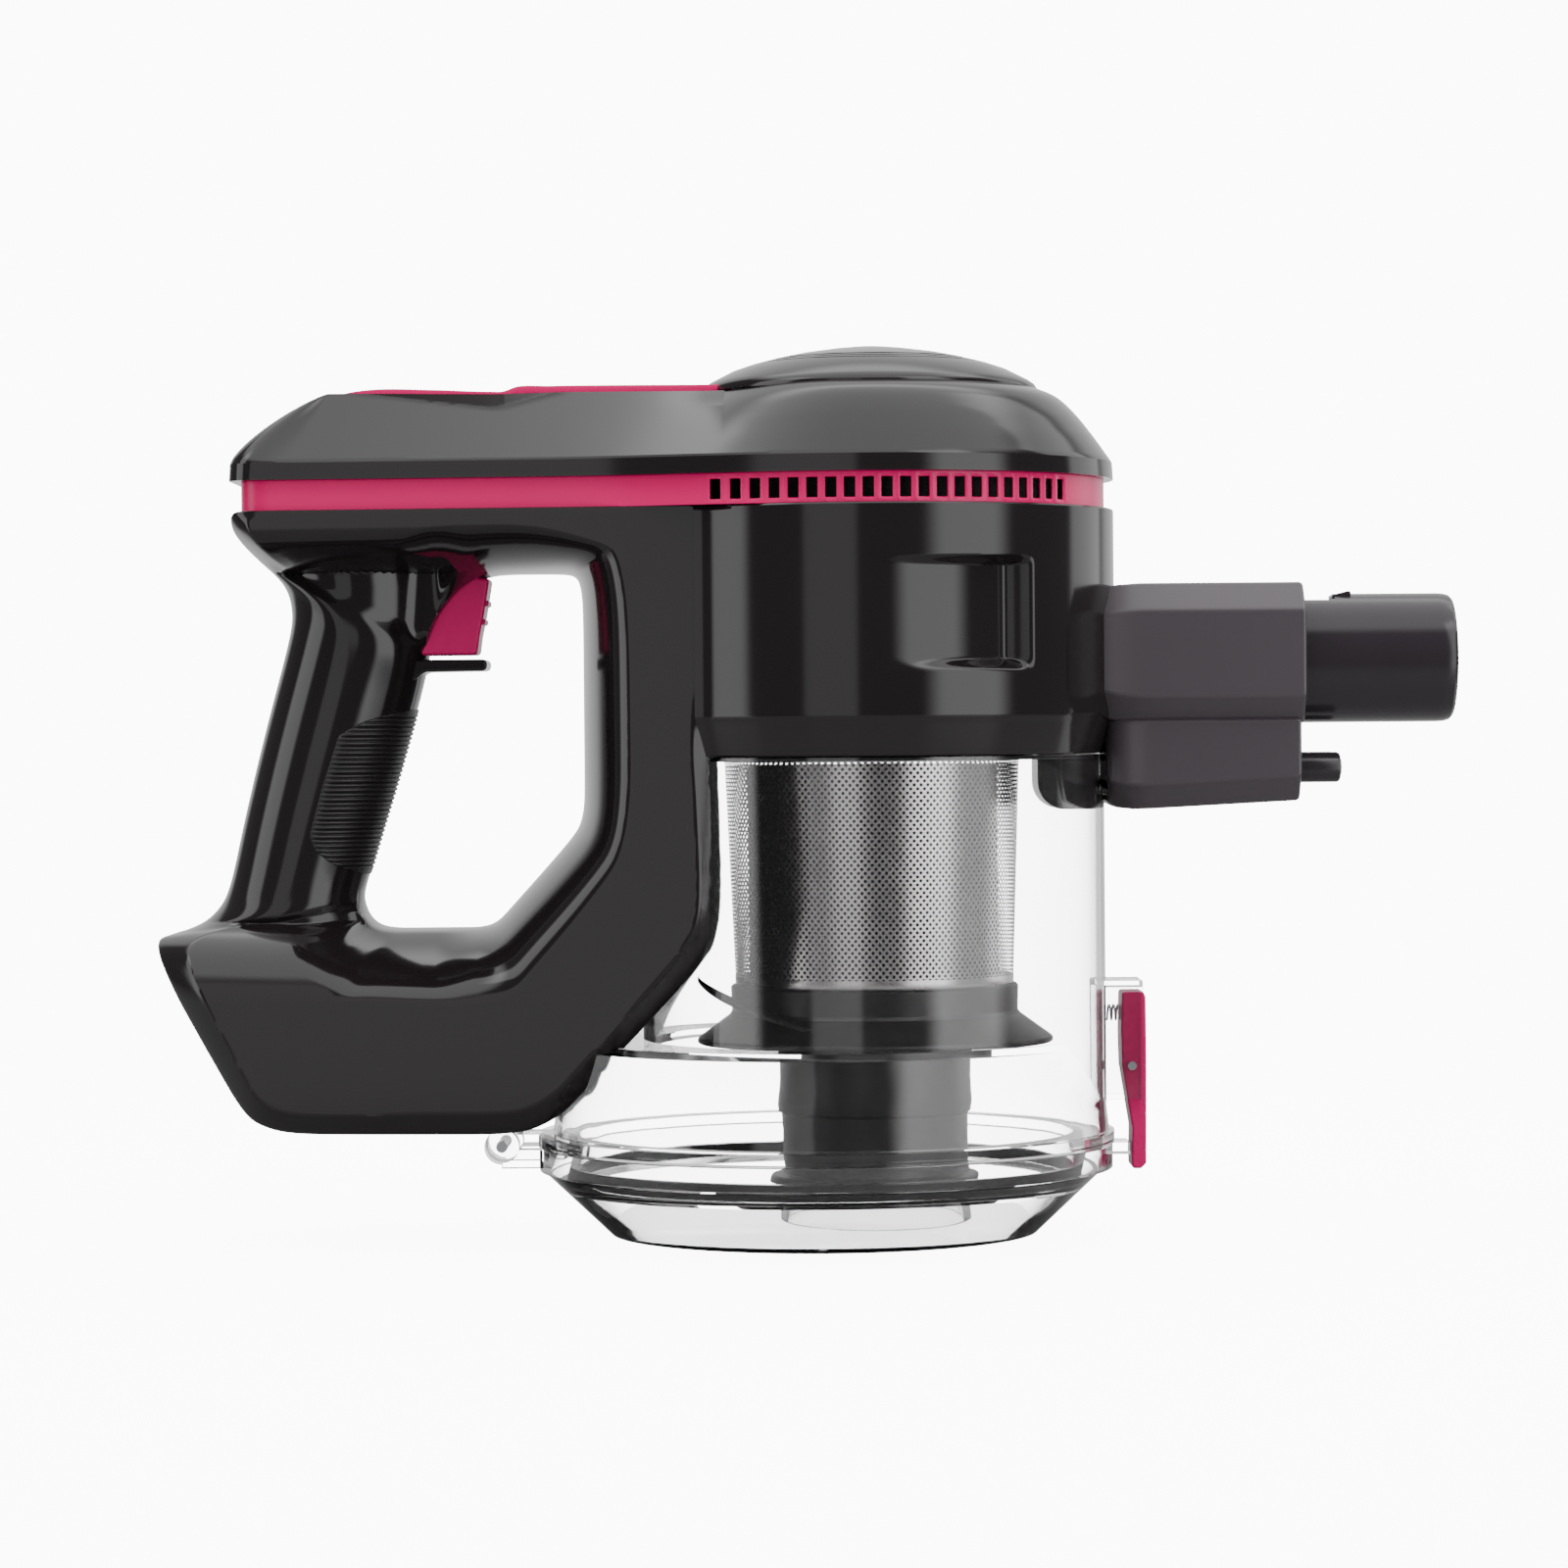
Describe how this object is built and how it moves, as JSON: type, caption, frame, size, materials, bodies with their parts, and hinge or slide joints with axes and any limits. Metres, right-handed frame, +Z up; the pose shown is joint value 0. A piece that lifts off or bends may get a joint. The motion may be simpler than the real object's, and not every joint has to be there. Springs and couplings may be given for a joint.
{
  "type": "handheld vacuum",
  "caption": "Cordless hand vacuum with a D handle, trigger, clear drop-away dust cup with hinged bottom door, cyclone filter cone and round nozzle.",
  "frame": {"origin": "middle of the machine's length and width, on the plane of the closed bin door's flat bottom", "axes": "+X towards the nozzle, +Z up, +Y to the left of a person who holds it"},
  "size_m": [0.3518, 0.157, 0.2408],
  "materials": {
    "black_gloss": "polished black, slightly warm",
    "pink_gloss": "polished magenta",
    "pink_lever": "satin magenta",
    "grip_rubber": "matt, ribbed",
    "inlet_plastic": "satin purple grey",
    "tube_black": "polished black",
    "clear_plastic": "clear, polished",
    "dark_plastic": "satin dark grey",
    "filter_steel": "perforated stainless sheet",
    "filter_paper": "pleated paper",
    "filter_foam": "open foam",
    "seal_rubber": "matt",
    "fan_aluminium": "turned",
    "motor_steel": "plated",
    "cell_wrap": "shrink sleeve",
    "contact_brass": "plated",
    "circuit_board": "solder mask",
    "light_lens": "milky",
    "pin_steel": "bright steel"
  },
  "bodies": {
    "housing": {"housing_left": "black_gloss", "housing_right": "black_gloss", "top_cover": "black_gloss", "dome_cap": "black_gloss", "top_inlay": "pink_gloss", "vent_band": "pink_gloss", "grip_pad": "grip_rubber", "inlet_block": "inlet_plastic", "nozzle_tube": "tube_black", "plug_posts": "tube_black", "battery_holder": "dark_plastic", "trigger_switch": "dark_plastic", "tact_switch": "dark_plastic", "charge_socket": "dark_plastic", "motor_seat": "dark_plastic", "fan_shroud": "dark_plastic", "diffuser": "dark_plastic", "motor_frame": "dark_plastic", "exhaust_filter": "filter_foam", "motor_gasket": "seal_rubber", "motor_mount": "seal_rubber", "motor_can": "motor_steel", "motor_bearings": "motor_steel", "motor_stator": "motor_steel", "battery_cells": "cell_wrap", "bus_bars": "contact_brass", "plug_contacts": "contact_brass", "charge_contact": "contact_brass", "battery_board": "circuit_board", "control_board": "circuit_board", "indicator_lights": "light_lens", "trigger_pin": "pin_steel", "trigger_spring": "pin_steel", "housing_screws": "pin_steel"},
    "rotor": {"impeller": "fan_aluminium", "motor_shaft": "motor_steel", "motor_rotor": "motor_steel"},
    "trigger": {"trigger": "pink_lever"},
    "mode_button": {"mode_button": "dark_plastic"},
    "cup": {"dust_cup": "clear_plastic", "latch_pin": "pin_steel", "door_pin": "pin_steel", "mesh_filter": "filter_steel", "filter_frame": "dark_plastic", "filter_seal": "seal_rubber", "pleated_filter": "filter_paper", "filter_skirt": "dark_plastic", "dust_tube": "dark_plastic", "latch_spring": "pin_steel"},
    "door": {"bin_door": "clear_plastic", "door_seal": "seal_rubber"},
    "latch": {"latch": "pink_lever"}
  },
  "joints": [
    {"name": "motor_spin", "type": "hinge", "parent": "housing", "child": "rotor", "pos_m": [0.018, 0, 0.15], "axis": [0, 0, 1], "continuous": true},
    {"name": "trigger_pull", "type": "hinge", "parent": "housing", "child": "trigger", "pos_m": [-0.096, 0, 0.1855], "axis": [0, 1, 0], "range_deg": [0, 11], "stiffness_Nm_per_rad": 0.4, "springref_deg": -8.59, "deforming": ["trigger_spring"]},
    {"name": "mode_press", "type": "slide", "parent": "housing", "child": "mode_button", "axis": [0, 0, -1], "range_m": [0, 0.0006], "stiffness_N_per_m": 800, "springref_m": -0.0005},
    {"name": "cup_release", "type": "slide", "parent": "housing", "child": "cup", "axis": [0, 0, -1], "range_m": [0, 0.14]},
    {"name": "door_open", "type": "hinge", "parent": "cup", "child": "door", "pos_m": [-0.083, 0, 0.0248], "axis": [0, 1, 0], "range_deg": [0, 95]},
    {"name": "latch_press", "type": "hinge", "parent": "cup", "child": "latch", "pos_m": [0.0875, 0, 0.045], "axis": [0, -1, 0], "range_deg": [0, 9], "stiffness_Nm_per_rad": 0.3, "springref_deg": -5.73, "deforming": ["latch_spring"]}
  ]
}
